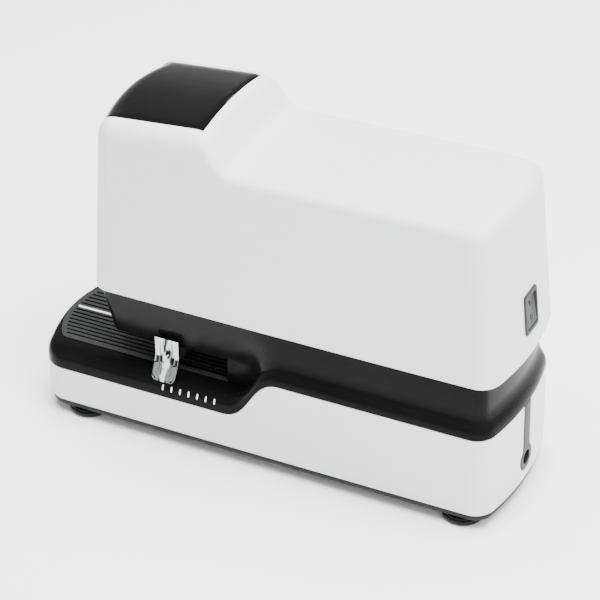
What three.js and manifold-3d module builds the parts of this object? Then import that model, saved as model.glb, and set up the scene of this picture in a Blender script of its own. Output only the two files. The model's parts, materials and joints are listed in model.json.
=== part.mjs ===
// Electric desktop stapler, built as an assembly of separate named parts.
// Millimetres. +Z is up, -Y is the paper entry, +Y is the rear, x = 0 is the centre plane.
// The origin is on the table top under the middle of the body.
import * as THREE from 'three';
import { mergeVertices } from 'three/addons/utils/BufferGeometryUtils.js';
import Module from 'manifold-3d';

const wasm = await Module();
wasm.setup();

// ---------------------------------------------------------------- driving dimensions
const GAP = 0.4;                     // clearance between neighbouring parts
const WALL = 2.5;                    // moulded wall thickness

const footHeight = 5;
const footRadius = 11;
const footX = 30;
const footY = { front: -106, rear: 110 };

const base = {                       // outline shared by the base plate, base shell and covers
  half: 41.6, front: -132.5, rear: 131,
  frontBow: 120, rearBow: 150, frontCorner: 15, rearCorner: 11,
};
const plateTop = 9.2;
const shellBottom = 9.6;
const shellFrontTop = 30;            // top edge of the white base at the front
const shellRearTop = 56;             // and behind the step
const step = { start: -19, end: 13 };

const tableTop = 40.5;
const tableHalf = 28.4;              // flat part of the table, to each side
const rollDepth = 10.2;              // height of the rolled rim
const rollFront = 4;                 // how far the rim rolls back at the front edge
const throatEnd = -23;               // end wall of the paper throat
const grooves = { pitch: 3.05, width: 1.3, depth: 0.8, perSide: 8 };
const centreLine = { width: 1.5, slotWidth: 1.8 };

const jaw = {
  top: 86.1, bottom: 54.6, halfTop: 37.4, halfBottom: 28.6,
  front: -96, slant: 1.5, bow: 120, corner: 5,
};
const flare = [                      // height and inset of the waist's flared lower band
  [30, 0], [58.5, 0], [62, 0.9], [65.5, 2.5], [69, 4.0], [86.1, 4.3],
];

const housing = {
  half: 41.1, front: -98.2, rear: 132.5,
  frontBow: 130, rearBow: 150, frontCorner: 10, rearCorner: 11,
  bottom: 86.6, draftTop: 170, sideDraft: 2.4, frontDraft: 6.2, rearDraft: 6.6,
};
const crown = { frontY: -98, frontZ: 186.1, rearY: -27, rearZ: 192.4 };
const lowTop = { frontY: -5, frontZ: 172.4, rearY: 112, rearZ: 174.2 };
const archRadius = { head: 150, low: 400 };   // the top is arched across its width
const edgeStart = 32.6;              // where the top begins to round into the sides
const edgeRadius = 6.5;

const lid = { half: 30, rear: -29.5, skirtBottom: 150, hingeRadius: 2.2 };
const lidHinge = { y: lid.rear - lid.hingeRadius, z: 0 };
lidHinge.z = crown.frontZ + (crown.rearZ - crown.frontZ)
  * (lidHinge.y - crown.frontY) / (crown.rearY - crown.frontY) - lid.hingeRadius;

const archStations = [-42, -39.1, -38, -36.6, -34.8, -edgeStart, -22, -11, 0,
  11, 22, edgeStart, 34.8, 36.6, 38, 39.1, 42];

const stapleY = -62;                 // the staple is driven here
const nose = { front: -66, rear: -57.4, bottom: 47 };
const guideY = -74.5;
const leverPivot = { y: 46, z: 100 };
const leverPin = { z: 134 };
const cam = { y: 3, z: 127, radius: 12, offset: 3.5, play: 1.4 };
const cassette = { front: -53, rear: -19, bottom: 62, top: 116 };
const frameScrews = [[-10, -42], [10, -42], [-10, 84], [10, 84]];
const plateInner = 18;               // inner faces of the steel side plates
const plateThick = 2;

const gearModule = 1.5;
const driveTeeth = 40;
const idlerSmallTeeth = 12;
const idlerLargeTeeth = 30;
const pinionTeeth = 10;
const gearX = 24;                    // first gear plane, outside the right side plate
const gearWidth = 5;
const idler = { y: cam.y + gearModule * (driveTeeth + idlerSmallTeeth) / 2, z: cam.z };
const motorAngle = -0.2;             // direction from the idler axle to the motor
const motor = {
  y: idler.y + gearModule * (idlerLargeTeeth + pinionTeeth) / 2 * Math.cos(motorAngle),
  z: idler.z + gearModule * (idlerLargeTeeth + pinionTeeth) / 2 * Math.sin(motorAngle),
  radius: 17, half: 17.4,
};

const depth = { y: -55, width: 13.8 };
const knobRelief = 5.8;              // the covers stand back here so that the knob can travel
const knobProfile = [[31.7, 60.5], [32.1, 48], [33.4, 44], [38.2, 37.6], [39.9, 38.2],
  [35.8, 44.2], [33.9, 49], [33.3, 60.5]].reverse();
const tongue = { x0: 22.1, x1: 24.1 };        // guide of the depth stop, in a slot of the table
const trigger = { x: -14, y: depth.y, z: 48.2 };
const rocker = { z: 111, width: 11.2, height: 17.4, tilt: 8 };
const outlet = { z: 22, bossRadius: 7, holeRadius: 4, stripHalf: 4 };

// ---------------------------------------------------------------- materials
const finish = {
  whitePlastic: [0xe4e5e3, 0.42, 0], glossBlack: [0x121212, 0.16, 0],
  darkPlastic: [0x2a2b2b, 0.5, 0], greyPlastic: [0x5d5f5e, 0.55, 0],
  whiteInk: [0xf2f2f2, 0.5, 0], chrome: [0xd8dadc, 0.08, 1],
  steel: [0xa4a7aa, 0.35, 1], zincSteel: [0xb9bcbe, 0.3, 1],
  rubber: [0x18181a, 0.45, 0], nylon: [0xd9d4c4, 0.5, 0],
  brass: [0xb08d4a, 0.3, 1], board: [0x1f5a3a, 0.5, 0], copper: [0x9a5a33, 0.35, 1],
};
function material([color, roughness, metalness]) {
  return new THREE.MeshStandardMaterial({ color, roughness, metalness });
}

// ---------------------------------------------------------------- solids
function toSolid(geometry) {
  const bare = geometry.index ? geometry.toNonIndexed() : geometry.clone();
  bare.deleteAttribute('normal');
  bare.deleteAttribute('uv');
  const merged = mergeVertices(bare, 1e-4);
  return new wasm.Manifold(new wasm.Mesh({
    numProp: 3,
    vertProperties: Float32Array.from(merged.attributes.position.array),
    triVerts: Uint32Array.from(merged.index.array),
  }));
}

function toGeometry(solid) {
  const mesh = solid.getMesh();
  const geometry = new THREE.BufferGeometry();
  geometry.setAttribute('position', new THREE.BufferAttribute(mesh.vertProperties, 3));
  geometry.setIndex(new THREE.BufferAttribute(mesh.triVerts, 1));
  geometry.computeVertexNormals();
  return geometry;
}

const join = (first, ...rest) => rest.reduce((all, next) => all.add(next), first);
const cut = (first, ...rest) => rest.reduce((all, next) => all.subtract(next), first);

function box(x0, x1, y0, y1, z0, z1) {
  const geometry = new THREE.BoxGeometry(x1 - x0, y1 - y0, z1 - z0);
  geometry.translate((x0 + x1) / 2, (y0 + y1) / 2, (z0 + z1) / 2);
  return toSolid(geometry);
}

function rodX(radius, x0, x1, y, z, sides = 20) {
  const geometry = new THREE.CylinderGeometry(radius, radius, x1 - x0, sides);
  geometry.rotateZ(Math.PI / 2);
  geometry.translate((x0 + x1) / 2, y, z);
  return toSolid(geometry);
}

function rodY(radius, y0, y1, x, z, sides = 20) {
  const geometry = new THREE.CylinderGeometry(radius, radius, y1 - y0, sides);
  geometry.translate(x, (y0 + y1) / 2, z);
  return toSolid(geometry);
}

function rodZ(radius, z0, z1, x, y, sides = 20) {
  const geometry = new THREE.CylinderGeometry(radius, radius, z1 - z0, sides);
  geometry.rotateX(Math.PI / 2);
  geometry.translate(x, y, (z0 + z1) / 2);
  return toSolid(geometry);
}

function shapeOf(points) {
  return new THREE.Shape(points.map(([u, v]) => new THREE.Vector2(u, v)));
}

// A side outline in (y, z), extruded across the width from x0 to x1.
function acrossX(points, x0, x1) {
  const geometry = new THREE.ExtrudeGeometry(
    shapeOf(points), { depth: x1 - x0, bevelEnabled: false });
  geometry.applyMatrix4(new THREE.Matrix4().makeBasis(
    new THREE.Vector3(0, 1, 0), new THREE.Vector3(0, 0, 1), new THREE.Vector3(1, 0, 0)));
  geometry.translate(x0, 0, 0);
  return toSolid(geometry);
}

// A front outline in (x, z), extruded from y0 to y1.
function alongY(points, y0, y1) {
  const geometry = new THREE.ExtrudeGeometry(
    shapeOf(points), { depth: y1 - y0, bevelEnabled: false });
  geometry.applyMatrix4(new THREE.Matrix4().makeBasis(
    new THREE.Vector3(1, 0, 0), new THREE.Vector3(0, 0, 1), new THREE.Vector3(0, -1, 0)));
  geometry.translate(0, y1, 0);
  return toSolid(geometry);
}

// A plan outline in (x, y), extruded through the given heights, then reshaped by bend(point).
function upZ(points, heights, bend = null) {
  const steps = heights.length - 1;
  const geometry = new THREE.ExtrudeGeometry(
    shapeOf(points), { depth: steps, steps, bevelEnabled: false });
  const position = geometry.attributes.position;
  const point = new THREE.Vector3();
  for (let i = 0; i < position.count; i += 1) {
    point.fromBufferAttribute(position, i);
    point.z = heights[Math.round(point.z)];
    if (bend) bend(point);
    position.setXYZ(i, point.x, point.y, point.z);
  }
  return toSolid(geometry);
}

// Rounded body outline: straight sides, bowed front and rear edges, round corners.
function outline(body, inset = 0) {
  const half = body.half - inset;
  const cornerSteps = 4;
  const bowSteps = 3;
  const quarter = (edge, bow, corner, inward) => {
    const bowRadius = bow - inset;
    const radius = Math.max(corner - inset, 1.5);
    const bowCentre = edge + inward * (inset + bowRadius);
    const cx = half - radius;
    const cy = bowCentre - inward * Math.sqrt((bowRadius - radius) ** 2 - cx ** 2);
    const turn = Math.asin(cx / (bowRadius - radius));
    const points = [];
    for (let i = 0; i <= cornerSteps; i += 1) {
      const angle = (Math.PI / 2 - turn) * i / cornerSteps;
      points.push([cx + radius * Math.cos(angle), cy - inward * radius * Math.sin(angle)]);
    }
    for (let i = 1; i <= bowSteps; i += 1) {
      const angle = turn * (1 - i / bowSteps);
      points.push([bowRadius * Math.sin(angle), bowCentre - inward * bowRadius * Math.cos(angle)]);
    }
    return points;
  };
  const mirror = ([x, y]) => [-x, y];
  const rear = quarter(body.rear, body.rearBow, body.rearCorner, -1);
  const front = quarter(body.front, body.frontBow, body.frontCorner, 1);
  return [...rear, ...rear.slice(0, -1).reverse().map(mirror),
    ...front.slice(0, -1).map(mirror), ...front.slice().reverse()];
}

function prism(body, inset, z0, z1) {
  return upZ(outline(body, inset), [z0, z1]);
}

// Linear interpolation in a list of [position, value] pairs.
function along(list, at) {
  const next = list.findIndex(([position]) => position >= at);
  if (next < 0) return list[list.length - 1][1];
  if (next === 0) return list[0][1];
  const [p0, v0] = list[next - 1];
  const [p1, v1] = list[next];
  return v0 + (v1 - v0) * (at - p0) / (p1 - p0);
}

function quadratic(start, control, end, steps = 4) {
  const curve = new THREE.QuadraticBezierCurve(
    new THREE.Vector2(...start), new THREE.Vector2(...control), new THREE.Vector2(...end));
  return curve.getPoints(steps).map((point) => [point.x, point.y]);
}

// Spur gear outline in (y, z) with straight-sided teeth and running clearance.
function gearPoints(teeth, cy, cz, phase) {
  const pitch = gearModule * teeth / 2;
  const tip = pitch + 0.75 * gearModule;
  const root = pitch - 1.1 * gearModule;
  const points = [];
  for (let i = 0; i < teeth; i += 1) {
    for (const [radius, part] of [[root, -0.27], [tip, -0.11], [tip, 0.11], [root, 0.27]]) {
      const angle = phase + (i + part) * 2 * Math.PI / teeth;
      points.push([cy + radius * Math.cos(angle), cz + radius * Math.sin(angle)]);
    }
  }
  return points;
}

// ---------------------------------------------------------------- assembly
const stapler = new THREE.Group();

function add(name, solid, look) {
  const mesh = new THREE.Mesh(toGeometry(solid), material(look));
  mesh.name = name;
  stapler.add(mesh);
}

const sides = [['right', 1], ['left', -1]];
const everything = (z0, z1) => box(-70, 70, -150, 150, z0, z1);
const rearOf = (y) => box(-70, 70, y, 150, 0, 250);

// Everything above the top edge of the base shell, raised by lift.
function aboveShell(lift, top) {
  const curve = new THREE.CubicBezierCurve(
    new THREE.Vector2(step.start, shellFrontTop), new THREE.Vector2(step.start + 15, shellFrontTop),
    new THREE.Vector2(step.end - 16, shellRearTop), new THREE.Vector2(step.end, shellRearTop));
  const edge = curve.getPoints(8).map((point) => [point.x, point.y + lift]);
  return acrossX([[-150, shellFrontTop + lift], ...edge, [150, shellRearTop + lift],
    [150, top], [-150, top]], -70, 70);
}

// ---------------------------------------------------------------- base
function makeBase() {
  const screwHoles = frameScrews.map(([x, y]) => rodZ(2.4, 0, 12, x, y, 12));
  add('base_plate', cut(prism(base, 0.8, footHeight + 0.3, plateTop), ...screwHoles),
    finish.darkPlastic);

  const ring = cut(prism(base, 0, shellBottom, 80), prism(base, WALL, 0, 90));
  const stripSlot = box(-outlet.stripHalf - GAP, outlet.stripHalf + GAP, 115, 140, outlet.z, 70);
  const bossHole = rodY(outlet.bossRadius + GAP, 115, 140, 0, outlet.z, 24);
  add('base_shell', cut(ring, aboveShell(0, 90), stripSlot, bossHole), finish.whitePlastic);

  const profile = [[0, 0], [footRadius - 1.6, 0], [footRadius - 0.5, 0.5], [footRadius, 1.8],
    [footRadius - 0.4, footHeight], [0, footHeight]];
  for (const [end, y] of Object.entries(footY)) {
    for (const [side, sign] of sides) {
      const foot = new THREE.LatheGeometry(profile.map(([r, z]) => new THREE.Vector2(r, z)), 24);
      foot.rotateX(Math.PI / 2);
      foot.translate(sign * footX, y, 0);
      add(`foot_${end}_${side}`, toSolid(foot), finish.rubber);
    }
  }

  const { z, bossRadius, holeRadius, stripHalf } = outlet;
  const strip = box(-stripHalf, stripHalf, 128.4, 130.9, z, shellRearTop - GAP);
  const boss = rodY(bossRadius, 128.4, 131.2, 0, z, 24);
  const collar = rodY(holeRadius + 2, 120, 129, 0, z, 24);
  add('cable_outlet', cut(join(strip, boss, collar), rodY(holeRadius, 110, 140, 0, z, 24)),
    finish.greyPlastic);
}

// ---------------------------------------------------------------- table
function makeTable() {
  const rollBottom = shellFrontTop + 0.3;
  const rollSteps = [0, 0.3, 0.55, 0.78, 0.93, 1];
  const rolled = (inset, drop) => {
    const heights = rollSteps.map((part) => rollBottom - drop + part * rollDepth);
    return upZ(outline(base, inset), [rollBottom - 12, ...heights], (point) => {
      const rise = Math.max((point.z - rollBottom + drop) / rollDepth, 0);
      const bulge = 1 - Math.sqrt(Math.max(1 - rise ** 2, 0));
      point.x *= 1 - (base.half - tableHalf) * bulge / base.half;
      if (point.y < 0) point.y *= 1 + rollFront * bulge / base.front;
    });
  };
  const outer = rolled(0, 0).intersect(everything(rollBottom, 60));
  const lip = prism(base, WALL + GAP, rollBottom - 8, rollBottom + 1);
  const hollow = rolled(WALL + 2.2, 2.4);
  const opening = prism(base, WALL + 2.2, 0, rollBottom - 5);
  const cornerGap = throatEnd + knobRelief;
  const behind = join(rearOf(cornerGap - GAP),
    box(-tableHalf - 0.3, tableHalf + 0.3, throatEnd - GAP, 150, 0, 90));
  const anvilHole = box(-12.4, 12.4, stapleY - 7.4, stapleY + 7.4, 30, 50);
  const guideSlot = box(tongue.x0 - 0.5, tongue.x1 + 0.5, depth.y - 6, throatEnd + 1, 30, 50);
  const field = { ...base, half: tableHalf - 1.5, front: base.front + rollFront + 1.8,
    frontCorner: 8, rearCorner: 8 };
  const grooveFloor = tableTop - grooves.depth;
  const cutters = [];
  for (let i = -grooves.perSide; i <= grooves.perSide; i += 1) {
    const half = (i === 0 ? centreLine.slotWidth : grooves.width) / 2;
    const x = i * grooves.pitch;
    cutters.push(box(x - half, x + half, -140, throatEnd, grooveFloor, 60));
  }
  const ribs = join(...cutters).intersect(prism(field, 0, 30, 60));
  add('table_cover', cut(join(outer, lip), hollow, opening, behind, anvilHole, guideSlot, ribs),
    finish.glossBlack);

  const lineHalf = centreLine.width / 2;
  add('centre_line', box(-lineHalf, lineHalf, base.front + 7, stapleY - 8, grooveFloor + 0.1,
    tableTop), finish.whiteInk);

  const clinch = (x0, x1) => box(x0, x1, stapleY - 1, stapleY + 1, tableTop - 1.2, 60);
  add('anvil_plate', cut(box(-12, 12, stapleY - 7, stapleY + 7, 34.6, tableTop - 0.1),
    clinch(-7.5, -0.8), clinch(0.8, 7.5)), finish.zincSteel);
  add('anvil_block', box(-17.5, 17.5, stapleY - 9, stapleY + 9, 13, 34.2), finish.steel);
}

// ---------------------------------------------------------------- waist and upper jaw
function makeWaist() {
  const heights = flare.map(([z]) => z);
  const flared = (inset) => upZ(outline(base, inset), heights, (point) => {
    const pull = along(flare, point.z);
    point.x *= 1 - pull / base.half;
    point.y *= 1 - pull / base.rear;
  });
  const jawBody = { half: jaw.halfTop, front: jaw.front, rear: 60, frontBow: jaw.bow,
    rearBow: 200, frontCorner: jaw.corner, rearCorner: 3 };
  const jawSolid = (inset, z0, z1) => upZ(outline(jawBody, inset), [z0, z1], (point) => {
    const down = (jaw.top - point.z) / (jaw.top - jaw.bottom);
    point.x *= 1 - down * (jaw.halfTop - jaw.halfBottom) / jaw.halfTop;
    if (point.y < 0) point.y += down * jaw.slant;
  });
  const cornerGap = throatEnd + knobRelief;
  const jawPart = cut(jawSolid(0, jaw.bottom, jaw.top), rearOf(cornerGap + 1));
  const endBlock = box(-tableHalf + 0.2, tableHalf - 0.2, throatEnd, cornerGap + 1,
    shellFrontTop + 0.3, jaw.bottom + 4);
  const waistPart = flared(0).intersect(rearOf(cornerGap)).intersect(aboveShell(0.3, 100));
  const lip = prism(base, WALL + GAP, shellFrontTop - 4, shellRearTop + 4)
    .intersect(rearOf(step.end));
  const jawHollow = cut(jawSolid(WALL, jaw.bottom + WALL, 100), rearOf(cornerGap + 4));
  const waistHollow = flared(WALL + 2.4).intersect(rearOf(cornerGap + WALL));
  const under = prism(base, WALL + 2.4, 0, 40).intersect(rearOf(cornerGap + WALL));
  const blockHollow = box(-tableHalf + 3, tableHalf - 3, throatEnd + WALL, 40, 0, 80);
  const topOpening = box(-30, 30, cornerGap, 120, 80, 100);
  const noseHole = box(-11.2, 11.2, nose.front - 0.7, nose.rear + 0.7, 40, 70);
  const stripGap = box(-6, 6, 122, 140, 10, shellRearTop + 0.3);
  add('waist_cover', cut(join(jawPart, endBlock, waistPart, lip), jawHollow, waistHollow, under,
    blockHollow, topOpening, noseHole, stripGap), finish.glossBlack);
}

// ---------------------------------------------------------------- housing and lid
function housingPlan(inset) {
  return upZ(outline(housing, inset), [housing.bottom, housing.draftTop, 200], (point) => {
    const rise = (point.z - housing.bottom) / (housing.draftTop - housing.bottom);
    point.x *= 1 - rise * housing.sideDraft / housing.half;
    const pull = point.y < 0 ? housing.frontDraft / housing.front : housing.rearDraft / housing.rear;
    point.y *= 1 - rise * Math.abs(pull);
  });
}

// Everything below the outer top surface, lowered by depthBelow.
function belowTop(depthBelow) {
  const frontFace = housing.front + housing.frontDraft * 1.08;
  const rearFace = housing.rear - housing.rearDraft * 0.96;
  const crownZ = (y) => crown.frontZ
    + (crown.rearZ - crown.frontZ) * (y - crown.frontY) / (crown.rearY - crown.frontY);
  const points = [[-150, 60], [-150, crownZ(frontFace) - 6.5],
    ...quadratic([frontFace, crownZ(frontFace) - 6.5], [frontFace, crownZ(frontFace)],
      [frontFace + 6.5, crownZ(frontFace + 6.5)]),
    ...quadratic([-33, crownZ(-33)], [-26.5, crownZ(-26.5)], [-23.2, 186.6]),
    ...quadratic([-17, 177.2], [-13.6, 172.2], [lowTop.frontY, lowTop.frontZ]),
    ...quadratic([lowTop.rearY, lowTop.rearZ], [rearFace - 1, lowTop.rearZ + 0.1],
      [rearFace, lowTop.rearZ - 9]),
    [150, lowTop.rearZ - 9], [150, 60]].reverse();
  const geometry = new THREE.ExtrudeGeometry(shapeOf(points.map(([y, z]) => [y, z - depthBelow])),
    { depth: archStations.length - 1, steps: archStations.length - 1, bevelEnabled: false });
  geometry.applyMatrix4(new THREE.Matrix4().makeBasis(
    new THREE.Vector3(0, 1, 0), new THREE.Vector3(0, 0, 1), new THREE.Vector3(1, 0, 0)));
  const position = geometry.attributes.position;
  for (let i = 0; i < position.count; i += 1) {
    const x = archStations[Math.round(position.getX(i))];
    const y = position.getY(i);
    const bow = along([[-30, 1 / archRadius.head], [-8, 1 / archRadius.low]], y) / 2;
    const beyond = Math.min(Math.max(Math.abs(x) - edgeStart, 0), edgeRadius);
    const rounding = edgeRadius - Math.sqrt(edgeRadius ** 2 - beyond ** 2);
    position.setX(i, x);
    position.setZ(i, position.getZ(i) - bow * x ** 2 - rounding);
  }
  return toSolid(geometry);
}

function rearFaceAt(z) {
  return housing.rear
    - housing.rearDraft * (z - housing.bottom) / (housing.draftTop - housing.bottom);
}

function makeHousing() {
  const outer = housingPlan(0).intersect(belowTop(0));
  const hollow = housingPlan(WALL).intersect(belowTop(WALL + 0.5));
  const floorOpening = prism(housing, WALL, 70, 90);
  const lidOpening = box(-lid.half - GAP, lid.half + GAP, -150, lid.rear + GAP,
    lid.skirtBottom - GAP, 250);
  const switchHole = box(-6.9, 6.9, 110, 140, rocker.z - 9.9, rocker.z + 9.9);
  add('upper_housing', cut(outer, hollow, floorOpening, lidOpening, switchHole),
    finish.whitePlastic);

  const { y, z } = lidHinge;
  const r = lid.hingeRadius;
  const frontSide = box(-lid.half, lid.half, -150, y, lid.skirtBottom, 250);
  const rearEdge = rodX(r, -lid.half, lid.half, y, z, 24);
  const barrel = rodX(r, -10, 10, y, z, 24);
  const inner = housingPlan(WALL).intersect(belowTop(WALL));
  const shell = cut(join(frontSide, rearEdge).intersect(outer), inner);
  const eyeGap = box(-4.6, 4.6, y - r - 0.6, y + 5, z - 8, z + 8);
  add('cassette_lid', cut(join(shell, barrel), eyeGap, rodX(1.1, -9.4, 9.4, y, z, 16)),
    finish.glossBlack);

  add('lid_hinge_pin', rodX(0.8, -9, 9, y, z, 16), finish.zincSteel);
  const eye = rodX(1.9, -4.2, 4.2, y, z, 20);
  const arm = acrossX([[y - 1.3, z - 1.2], [y - 1.5, z - 8], [-25, z - 8], [-25, z - 4.6],
    [y + 1.5, z - 1.3]], -4.2, 4.2);
  add('lid_hinge_bracket', cut(join(eye, arm), rodX(1.1, -9, 9, y, z, 16)), finish.steel);
}

// ---------------------------------------------------------------- switch
function makeSwitch() {
  const lean = Math.atan(housing.rearDraft / (housing.draftTop - housing.bottom));
  const place = (solid) => solid.rotate([lean * 180 / Math.PI, 0, 0])
    .translate([0, rearFaceAt(rocker.z), rocker.z]);
  const flange = box(-8, 8, 0.3, 1.3, -11.3, 11.3);
  const tube = box(-6.6, 6.6, -13, 0.6, -9.6, 9.6);
  const well = box(-rocker.width / 2 - 0.3, rocker.width / 2 + 0.3, -10, 5,
    -rocker.height / 2 - 0.3, rocker.height / 2 + 0.3);
  add('switch_bezel', place(cut(join(flange, tube), well)), finish.darkPlastic);

  const h = rocker.height / 2;
  const tilt = rocker.tilt * Math.PI / 180;
  const face = [[-0.7, 0], [0.4, h - 0.9], [-3, h - 0.8], [-5.5, 2.4], [-5.5, -2.4],
    [-3, -h + 0.8], [0.4, -h + 0.9]];
  const paddle = acrossX(face.reverse(), -rocker.width / 2 + 0.1, rocker.width / 2 - 0.1)
    .rotate([tilt * 180 / Math.PI, 0, 0]);
  add('rocker_switch', place(paddle), finish.greyPlastic);
}

// ---------------------------------------------------------------- depth stop
function makeDepthStop() {
  const { y, width } = depth;
  const plate = alongY(knobProfile, y - width / 2, y + width / 2);
  const fin = alongY([[32.6, 59.2], [33.4, 47], [38.8, 38.4], [39.8, 39.4], [37.6, 47.5],
    [36.2, 53], [34.4, 59.4]].reverse(), y - 0.9, y + 0.9);
  add('depth_knob', join(plate, fin), finish.chrome);

  const bar = box(-24, 31.1, y - 1.5, y + 1.5, 41, 51.5);
  const guide = box(tongue.x0, tongue.x1, y - 5, y + 1.5, 36, 41.6);
  const notch = box(trigger.x - 1.8, trigger.x + 1.8, y - 3, y + 3, 40, trigger.z + 2.1);
  const bore = rodX(1.1, trigger.x - 3, trigger.x + 3, trigger.y, trigger.z, 16);
  add('depth_stop', cut(join(bar, guide), notch, bore), finish.steel);
  add('trigger_pin', rodX(0.8, trigger.x - 2.9, trigger.x + 2.9, trigger.y, trigger.z, 16),
    finish.zincSteel);
  const hub = rodX(1.8, trigger.x - 1.3, trigger.x + 1.3, trigger.y, trigger.z, 16);
  const arm = acrossX([[trigger.y - 1.5, trigger.z + 0.6], [trigger.y - 4.6, 42],
    [trigger.y - 3.2, 41.8], [trigger.y + 1.2, trigger.z - 1]], trigger.x - 1.3, trigger.x + 1.3);
  add('trigger_lever', cut(join(hub, arm), rodX(1.1, -50, 50, trigger.y, trigger.z, 16)),
    finish.brass);
}

// ---------------------------------------------------------------- frame
function makeFrame() {
  const c = [[-72, 12], [102, 12], [102, 142], [30, 150], [-14, 150], [-24, 162], [-76, 162],
    [-76, 61], [-19, 61], [-19, 29.5], [-72, 29.5]];
  const holes = [rodX(5.5, -60, 60, cam.y, cam.z, 24), rodX(4.4, -60, 60, leverPivot.y,
    leverPivot.z, 20), rodX(8, -60, 60, motor.y, motor.z, 24)];
  for (const [side, sign] of sides) {
    const x0 = sign > 0 ? plateInner : -plateInner - plateThick;
    add(`frame_plate_${side}`, cut(acrossX(c, x0, x0 + plateThick), ...holes), finish.steel);
  }
  for (const [name, y, z] of [['front', -8, 40], ['rear', 94, 30], ['top', 92, 134]]) {
    add(`frame_spacer_${name}`, rodX(3.5, -17.6, 17.6, y, z, 16), finish.zincSteel);
  }
  for (const [name, y] of [['front', -42], ['rear', 84]]) {
    const beam = box(-17.6, 17.6, y - 6, y + 6, plateTop + 0.3, 24);
    const holesHere = frameScrews.filter(([, sy]) => sy === y)
      .map(([x, sy]) => rodZ(1.9, 0, 21, x, sy, 12));
    add(`frame_foot_${name}`, cut(beam, ...holesHere), finish.steel);
  }
  frameScrews.forEach(([x, y], i) => {
    const screw = join(rodZ(1.5, 6, 20, x, y, 12), rodZ(2.1, 5.4, 7, x, y, 12));
    add(`frame_screw_${i + 1}`, screw, finish.zincSteel);
  });
}

// ---------------------------------------------------------------- drive
function makeDrive() {
  const right = plateInner + plateThick;
  const gearAt = (teeth, y, z, phase, x0, x1) => acrossX(gearPoints(teeth, y, z, phase), x0, x1);

  const disc = (x0, x1) => rodX(cam.radius, x0, x1, cam.y, cam.z + cam.offset, 32);
  const flat = box(-40, 40, cam.y - 20, cam.y + 20, cam.z + 3.4, cam.z + 9)
    .intersect(box(gearX - 0.5, 60, -99, 99, 0, 250));
  const shaft = cut(rodX(5, -right - 2, gearX + gearWidth + 1, cam.y, cam.z, 24), flat);
  add('cam_shaft', join(shaft, disc(12.6, 15.9), disc(-15.9, -12.6)), finish.steel);

  const holesAround = Array.from({ length: 5 }, (unused, i) => {
    const angle = i * 2 * Math.PI / 5;
    return rodX(5, 0, 60, cam.y + 18 * Math.cos(angle), cam.z + 18 * Math.sin(angle), 16);
  });
  const shaftBore = cut(rodX(5.35, 0, 60, cam.y, cam.z, 24),
    box(0, 60, cam.y - 9, cam.y + 9, cam.z + 3.7, cam.z + 9));
  add('drive_gear', cut(gearAt(driveTeeth, cam.y, cam.z, 0, gearX, gearX + gearWidth), shaftBore,
    ...holesAround), finish.nylon);

  const meshPhase = Math.PI + Math.PI / idlerSmallTeeth;
  const small = gearAt(idlerSmallTeeth, idler.y, idler.z, meshPhase, gearX, gearX + gearWidth + 1);
  const largePhase = motorAngle;
  const large = gearAt(idlerLargeTeeth, idler.y, idler.z, largePhase, gearX + gearWidth + 1,
    gearX + 2 * gearWidth);
  add('idler_gear', cut(join(small, large), rodX(3.4, 0, 60, idler.y, idler.z, 20)),
    finish.nylon);
  add('idler_axle', join(rodX(3, right + 0.4, 35.6, idler.y, idler.z, 20),
    rodX(6, right + 0.4, gearX - 0.6, idler.y, idler.z, 20)), finish.zincSteel);

  const pinionPhase = motorAngle + Math.PI + Math.PI / pinionTeeth;
  const pinion = gearAt(pinionTeeth, motor.y, motor.z, pinionPhase, gearX + gearWidth + 1.4,
    gearX + 2 * gearWidth);
  const motorShaft = rodX(2.5, motor.half + 0.6, gearX + gearWidth + 2, motor.y, motor.z, 16);
  add('motor_pinion', join(pinion, motorShaft), finish.brass);
  const can = rodX(motor.radius, -motor.half + 1.5, motor.half, motor.y, motor.z, 32);
  const cap = rodX(6, -motor.half, -motor.half + 2, motor.y, motor.z, 20);
  const clip = box(-motor.half + 3, motor.half - 3, motor.y - 20, motor.y + 20, motor.z - 12,
    motor.z + 12);
  add('motor_body', join(can.intersect(join(clip, everything(motor.z - 14, motor.z + 14))), cap),
    finish.zincSteel);

  add('lever_shaft', rodX(4, -plateInner - plateThick - 1, right + 1, leverPivot.y, leverPivot.z,
    20), finish.zincSteel);
  const arm = [[-69, 129], [-69, 139.5], [-22, 152], [30, 152], [36, 126], [53, 105], [53, 93],
    [41, 91], [26, 108], [-20, 109], [-34, 127]].reverse();
  const window = box(-30, 30, cam.y - cam.radius - cam.offset - 1.6,
    cam.y + cam.radius + cam.offset + 6.6, cam.z + cam.offset - cam.radius - cam.play,
    cam.z + cam.offset + cam.radius + cam.play);
  const arms = [acrossX(arm, 13, 15.4), acrossX(arm, -15.4, -13)].map((one) => cut(one, window));
  const tube = rodX(7, -15.4, 15.4, leverPivot.y, leverPivot.z, 24);
  const pin = rodX(2.5, -15.4, 15.4, stapleY, leverPin.z, 16);
  add('drive_lever', cut(join(...arms, tube, pin),
    rodX(4.35, -30, 30, leverPivot.y, leverPivot.z, 24)), finish.steel);
}

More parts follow.
